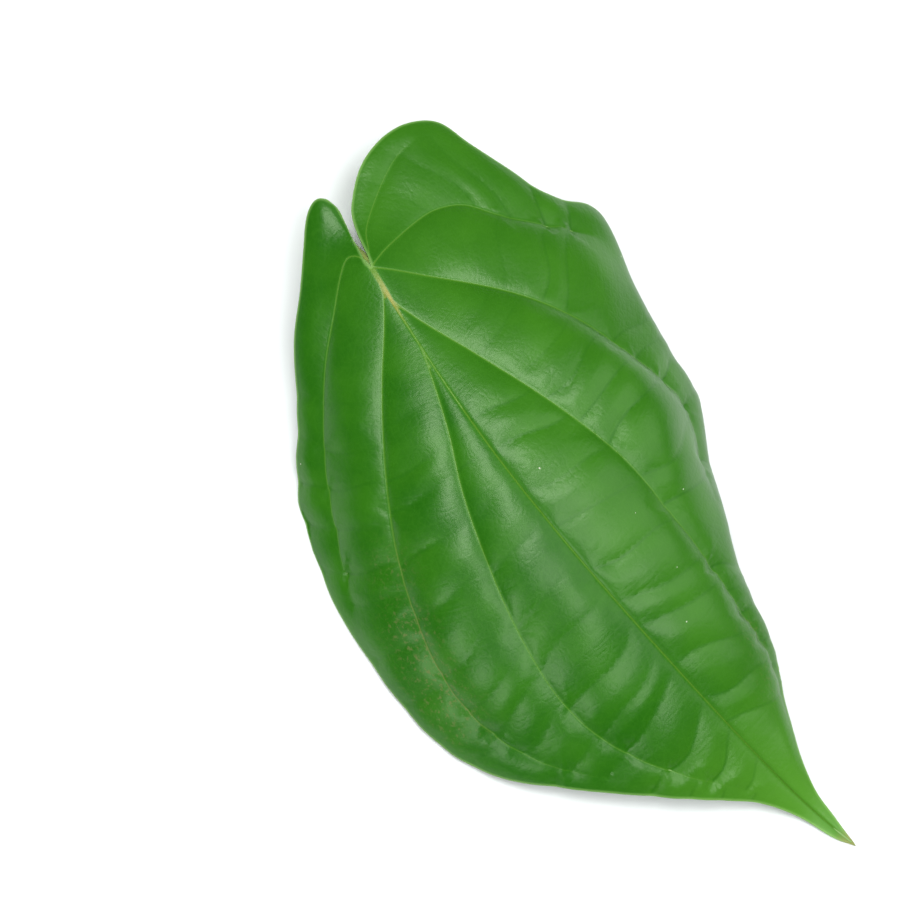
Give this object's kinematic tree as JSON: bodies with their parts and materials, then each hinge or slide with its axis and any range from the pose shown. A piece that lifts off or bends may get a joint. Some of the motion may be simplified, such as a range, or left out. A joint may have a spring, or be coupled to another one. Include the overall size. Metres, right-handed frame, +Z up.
{
  "type": "betel leaf",
  "caption": "Heart-shaped fresh leaf with arched blade, impressed curving veins, drawn-out tip and short cut stalk, lying upper side up.",
  "frame": {"origin": "middle of the bounding box, on the surface the leaf lies on", "axes": "+X along the midrib towards the tip, the longest extent; +Y towards the wider half; +Z up, the shortest extent"},
  "size_m": [0.1316, 0.076, 0.0187],
  "materials": {
    "leaf_green": "fresh green leaf with a soft waxy sheen above, duller and paler underneath"
  },
  "bodies": {
    "root": {"leaf": "leaf_green"}
  },
  "joints": []
}
